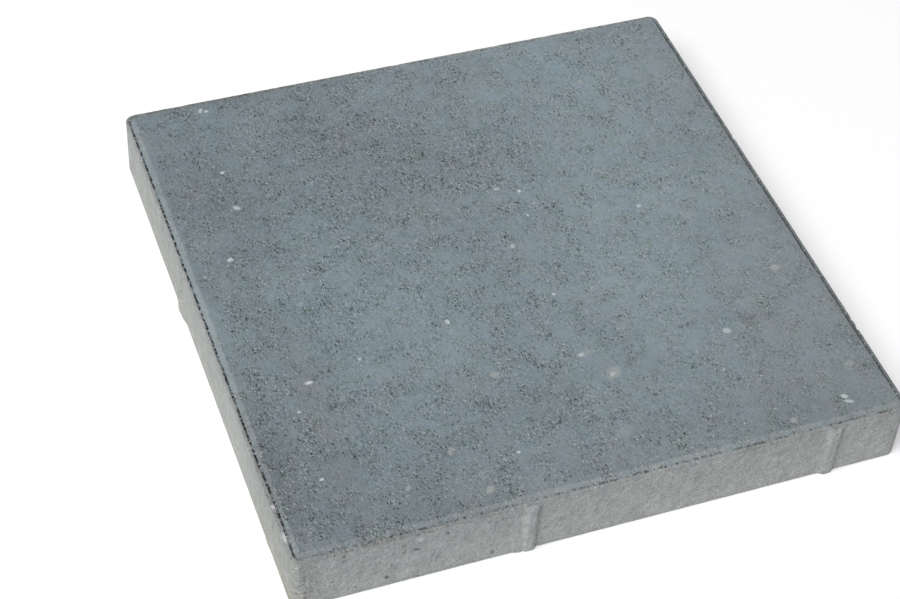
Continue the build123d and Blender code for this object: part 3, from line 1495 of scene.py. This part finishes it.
    def edge_tones(self, columns: Columns, section: Section, opening: FloatArray) -> dict[str, FloatArray]:
        """Values that the finish reads on the edge rings.

        Args:
            columns: Columns round the outline.
            section: Rows of the edge section.
            opening: Depth share of the groove for each column.

        Returns:
            facing, 1 on the walking face; soil and grime, dirt and painted shade in the groove and painted
            shade in the nibs' crease; light and warm, raised at the foot, and light lowered on the rim by
            painted shade.
        """
        wear, nibs = self.wear, self.nib_wear
        groove, rim = section.within(Zone.GROOVE), section.within(Zone.RIM)
        facing = section.within(Zone.MARGIN, Zone.BEVEL, Zone.GROOVE)
        facing = facing + rim * wear.spread(columns, "facing")
        facing = facing - section.within(Zone.BEVEL, Zone.GROOVE) * wear.spread(columns, "thin")
        strayed = self.soil_and_shade_swing * (opening - wear.spread(columns, "opening"))
        crease = section.within(Zone.SIDE) * nibs.crease(columns, self.sizes, section.height[:, None])
        # The groove is darkened by dirt and painted shade, and the nibs' crease by painted shade.
        soil = groove * (wear.spread(columns, "soil") + strayed) + nibs.crease_shade_cover * crease
        grime = groove * wear.spread(columns, "grime") + nibs.crease_shade_darkness * crease
        rise = self.foot_level - section.height[:, None] / self.sizes.thickness
        foot = section.within(Zone.SIDE, Zone.FOOT) * rise
        return {
            "facing": facing,
            "soil": soil,
            "grime": grime,
            # Painted shade darkens the rim.
            "light": foot * self.foot_light - rim * wear.spread(columns, "shade"),
            "warm": foot * self.foot_warm,
        }

    def sag(self, points: FloatArray) -> FloatArray:
        """Drop of the walking face below its plane: a slow noise, lifted so that it is never under 0.

        Args:
            points: Places with X and Y first on the last axis.

        Returns:
            Drop at each place.
        """
        flat = np.concatenate([points[..., :2], np.zeros((*points.shape[:-1], 1))], axis=-1)
        relief = self.relief.fractal(flat, self.walking_wave, self.walking_octaves)
        return self.walking_sag * (1.0 + relief) / 2

    def edge_rings(self, columns: Columns, section: Section) -> tuple[FloatArray, FloatArray]:
        """Rings of the edge section, worn at the arris and pushed out at the nibs.

        Args:
            columns: Columns round the outline.
            section: Rows of the edge section.

        Returns:
            Points by row and column, and how far the groove is open for each column.
        """
        sizes, wear = self.sizes, self.wear
        half = np.full(columns.share.shape, sizes.half_side)
        outline = columns.ring(half, np.full_like(half, sizes.corner_radius))
        chips = wear.dented(columns, sizes, wear.chips)
        swing = wear.opening_swing * wear.mixed(outline, WearLayer.OPENING)
        opening = np.clip(wear.spread(columns, "opening") + swing, wear.least_opening, 1.0)
        wall = wear.wall_shift * wear.mixed(outline, WearLayer.WALL)
        rim_wall = wear.rim_shift * wear.mixed(outline, WearLayer.RIM_WALL)
        rim_fall = wear.rim_drop * np.clip(wear.mixed(outline, WearLayer.RIM_FALL), 0.0, 1.0)
        rim_fall = rim_fall + chips - wear.spread(columns, "rise")
        foot = self.foot_wear * np.clip(wear.mixed(outline, WearLayer.FOOT), 0.0, 1.0)

        arris = section.within(Zone.BEVEL, Zone.GROOVE, Zone.RIM)
        groove_ends = (sizes.rim_width, sizes.groove_inset)
        peak = (0.0, 1.0, 0.0)
        inner = arris * np.interp(section.inset, (*groove_ends, sizes.flat_inset), peak)[:, None]
        outer = arris * np.interp(section.inset, (0.0, *groove_ends), peak)[:, None]
        shift = wear.spread(columns, "shift") + wear.dented(columns, sizes, wear.strays)
        inset = section.inset[:, None] + inner * (wall + shift + wear.spread(columns, "gape"))
        inset = inset + outer * (rim_wall + shift) + section.within(Zone.RIM) * wear.chip_bite * chips
        inset = inset + section.within(Zone.FOOT) * foot
        filled = np.clip(sizes.rim_level - section.height, 0.0, None)[:, None] * (1.0 - opening)
        lowered = section.within(Zone.RIM, Zone.SIDE) * section.height[:, None] / sizes.rim_level
        height = section.height[:, None] + section.within(Zone.GROOVE) * filled - lowered * rim_fall
        radius = np.maximum(sizes.corner_radius - section.inset, self.inner_radius)[:, None]
        flat = columns.ring(sizes.half_side - inset, radius * np.ones_like(half))

        points = np.concatenate([flat, height[..., None]], axis=-1)
        upright = section.within(Zone.SIDE, Zone.FOOT)
        relief = self.relief.fractal(points, self.side_wave, self.side_octaves)
        hollow = self.side_sag * (1.0 + relief) / 2
        crease = self.nib_wear.crease_depth * self.nib_wear.crease(columns, sizes, height)
        out = upright * (self.nib_wear.stand(columns, sizes, height) - hollow - crease)
        points[..., :2] += columns.outward()[None] * out[..., None]
        points[..., 2] -= section.within(Zone.MARGIN, Zone.BEVEL) * self.sag(points)
        return points, opening

    def flat_ring(self, columns: Columns, inset: float) -> FloatArray:
        """Ring of points on the bed face.

        Args:
            columns: Columns round the outline.
            inset: Inset from the sides.

        Returns:
            The points.
        """
        half = np.full(columns.share.shape, self.sizes.half_side - inset)
        flat = columns.ring(half, np.full_like(half, self.inner_radius))
        return np.concatenate([flat, np.zeros((len(flat), 1))], axis=1)

    def face_grid(self, columns: Columns, inset: float) -> FloatArray:
        """Square grid of points whose border is a ring at an inset.

        A point is the sum of the two mixes of opposite border points, less the mix of the four corners.

        Args:
            columns: Columns of the ring, as many on each side as the grid has steps.
            inset: Inset of the ring from the sides.

        Returns:
            The points, row by row from the front.
        """
        ring = self.flat_ring(columns, inset)
        steps = len(ring) // len(Side)
        closed = np.concatenate([ring, ring[:1]])
        front, right = closed[: steps + 1], closed[steps : 2 * steps + 1]
        back, left = closed[2 * steps : 3 * steps + 1][::-1], closed[3 * steps :][::-1]
        across = np.linspace(0.0, 1.0, steps + 1)[None, :, None]
        deep = np.linspace(0.0, 1.0, steps + 1)[:, None, None]
        along = (1.0 - deep) * front[None] + deep * back[None]
        into = (1.0 - across) * left[:, None] + across * right[:, None]
        corners = (1.0 - deep) * ((1.0 - across) * front[0] + across * front[-1])
        corners = corners + deep * ((1.0 - across) * back[0] + across * back[-1])
        return (along + into - corners).reshape(-1, 3)


def grid_quads(steps: int) -> IntArray:
    """Faces of a square grid, facing up: each cell's four points, counter-clockwise."""
    corner = (np.arange(steps)[:, None] * (steps + 1) + np.arange(steps)[None, :]).ravel()
    return np.stack([corner, corner + 1, corner + steps + 2, corner + steps + 1], axis=1)


def grid_border(steps: int) -> IntArray:
    """Border points of a square grid, counter-clockwise from the front left corner."""
    index = np.arange((steps + 1) ** 2).reshape(steps + 1, steps + 1)
    return np.concatenate([index[0, :-1], index[:-1, -1], index[-1, :0:-1], index[:0:-1, 0]])


def ring_quads(index: IntArray) -> IntArray:
    """Faces between rings, each joined to the next one and closed round the outline."""
    onward = np.roll(index, -1, axis=1)
    return np.stack([index[:-1], index[1:], onward[1:], onward[:-1]], axis=-1).reshape(-1, 4)


def halving_triangles(fine: IntArray, coarse: IntArray) -> IntArray:
    """Faces between a ring and one with half as many points: three for each step of the coarse ring.

    Args:
        fine: Point numbers of the fine ring.
        coarse: Point numbers of the coarse ring, inside it.

    Returns:
        The triangles, facing down where the rings run counter-clockwise from above.
    """
    first, middle, last = fine[::2], fine[1::2], np.roll(fine[::2], -1)
    onward = np.roll(coarse, -1)
    return np.concatenate([
        np.stack([first, coarse, middle], axis=1),
        np.stack([coarse, onward, middle], axis=1),
        np.stack([middle, onward, last], axis=1),
    ])


def mesh_from_arrays(
    name: str, points: FloatArray, quads: IntArray, triangles: IntArray
) -> bpy.types.Mesh:
    """Smooth-shaded mesh from arrays of points and faces.

    Args:
        name: The mesh's name.
        points: Points, with X, Y and Z on the last axis.
        quads: Four-sided faces.
        triangles: Three-sided faces.

    Returns:
        The mesh.
    """
    mesh = bpy.data.meshes.new(name)
    mesh.vertices.add(len(points))
    mesh.vertices.foreach_set("co", points.ravel())
    mesh.loops.add(quads.size + triangles.size)
    mesh.loops.foreach_set("vertex_index", np.concatenate([quads.ravel(), triangles.ravel()]))
    mesh.polygons.add(len(quads) + len(triangles))
    quad_starts = np.arange(len(quads)) * quads.shape[1]
    triangle_starts = quads.size + np.arange(len(triangles)) * triangles.shape[1]
    mesh.polygons.foreach_set("loop_start", np.concatenate([quad_starts, triangle_starts]))
    mesh.polygons.foreach_set("use_smooth", np.ones(len(mesh.polygons), dtype=bool))
    mesh.update(calc_edges=True)
    mesh.validate()
    return mesh


@dataclass(frozen=True)
class AreaLamp:
    """A square soft lamp: its place, the point it faces, its side, and its power in watts."""

    name: str
    place: tuple[float, float, float]
    target: tuple[float, float, float]
    side: float
    power: float

    def build(self) -> None:
        """Adds the lamp to the scene."""
        data = bpy.data.lights.new(self.name, "AREA")
        data.size = self.side
        data.energy = self.power
        lamp = bpy.data.objects.new(self.name, data)
        lamp.location = self.place
        direction = Vector(self.target) - Vector(self.place)
        lamp.rotation_euler = direction.to_track_quat("-Z", "Y").to_euler()
        bpy.context.scene.collection.objects.link(lamp)


@dataclass(frozen=True)
class Viewpoint:
    """The camera: its place, heading, dip and roll in degrees, and its lens in millimetres."""

    place: tuple[float, float, float] = (-0.4089, -0.8951, 1.0330)
    heading: float = 22.93
    dip: float = 46.45
    roll: float = 4.40
    lens_mm: float = 85.52
    sensor_mm: float = 36.0

    def build(self) -> None:
        """Adds the camera and makes it the scene's own."""
        heading, dip, roll = (math.radians(angle) for angle in (self.heading, self.dip, self.roll))
        look = Vector((
            math.sin(heading) * math.cos(dip),
            math.cos(heading) * math.cos(dip),
            -math.sin(dip),
        ))
        level = Vector((math.cos(heading), -math.sin(heading), 0.0))
        upright = level.cross(look)
        right = level * math.cos(roll) + upright * math.sin(roll)
        up = right.cross(look)
        data = bpy.data.cameras.new("viewpoint")
        data.sensor_fit = "HORIZONTAL"
        data.sensor_width = self.sensor_mm
        data.lens = self.lens_mm
        camera = bpy.data.objects.new("viewpoint", data)
        turned = Matrix((right, up, -look)).transposed().to_4x4()
        camera.matrix_world = Matrix.Translation(self.place) @ turned
        bpy.context.scene.collection.objects.link(camera)
        bpy.context.scene.camera = camera


def seen_directly(graph: ShaderGraph) -> Number:
    """1 for rays from the camera and for their mirror and glass rays, and else 0."""
    path = graph.node("ShaderNodeLightPath")
    rays = [graph.number(path, f"Is {kind} Ray") for kind in ("Camera", "Glossy", "Transmission")]
    return (rays[0] + rays[1] + rays[2]).clamped()


@dataclass(frozen=True)
class Studio:
    """Plain pale floor, soft lamps, a white surround and the camera."""

    floor_half: float = 4.0
    floor_tone: float = 0.80
    floor_lift: float = 0.30
    world_level: float = 0.28
    lamps: tuple[AreaLamp, ...] = (
        AreaLamp("key_lamp", (-2.60, -1.33, 4.44), (0.0, 0.0, 0.0), 2.9, 236.0),
    )
    viewpoint: Viewpoint = Viewpoint()

    def build(self) -> None:
        """Adds the floor, the surround, the lamps and the camera."""
        self.build_floor()
        self.build_world()
        for lamp in self.lamps:
            lamp.build()
        self.viewpoint.build()
        bpy.context.scene.view_settings.view_transform = "Standard"

    def build_floor(self) -> None:
        """Adds the floor, which looks white to the camera and keeps the slab's shadow."""
        corners = self.floor_half * np.array([(-1, -1, 0), (1, -1, 0), (1, 1, 0), (-1, 1, 0)])
        no_triangles = np.empty((0, 3), dtype=np.int64)
        mesh = mesh_from_arrays("floor_sheet", corners, np.arange(len(corners))[None], no_triangles)
        floor = bpy.data.objects.new("floor_sheet", mesh)
        paint = bpy.data.materials.new("pale_floor")
        graph = ShaderGraph(paint)
        tone = (self.floor_tone,) * 3
        matt = graph.node("ShaderNodeBsdfDiffuse", {}, {"Color": rgba(tone)}).outputs["BSDF"]
        light = {"Color": rgba(WHITE), "Strength": self.floor_lift}
        glow = graph.node("ShaderNodeEmission", {}, light).outputs["Emission"]
        both = graph.node("ShaderNodeAddShader", {}, {"Shader": matt, "Shader_001": glow})
        choice = {"Fac": seen_directly(graph), "Shader": matt, "Shader_001": both.outputs["Shader"]}
        mixed = graph.node("ShaderNodeMixShader", {}, choice)
        graph.node("ShaderNodeOutputMaterial", {}, {"Surface": mixed.outputs["Shader"]})
        mesh.materials.append(paint)
        bpy.context.scene.collection.objects.link(floor)

    def build_world(self) -> None:
        """Adds the surround: white to the camera, and a level soft light on the slab."""
        world = bpy.data.worlds.new("white_surround")
        bpy.context.scene.world = world
        graph = ShaderGraph(world)
        level = seen_directly(graph) * (1.0 - self.world_level) + self.world_level
        light = graph.node("ShaderNodeBackground", {}, {"Color": rgba(WHITE), "Strength": level})
        graph.node("ShaderNodeOutputWorld", {}, {"Surface": light.outputs["Background"]})


def main() -> None:
    """Builds the slab and its studio, and reports each piece."""
    logging.basicConfig(level=logging.INFO)
    slab = PavingSlab(SlabSizes.from_frame(frame["record"])).build()
    LOG.info("%s: %d points, %d faces", slab.name, len(slab.data.vertices), len(slab.data.polygons))
    Studio().build()
    LOG.info("studio ready")


if __name__ == "__main__":
    main()
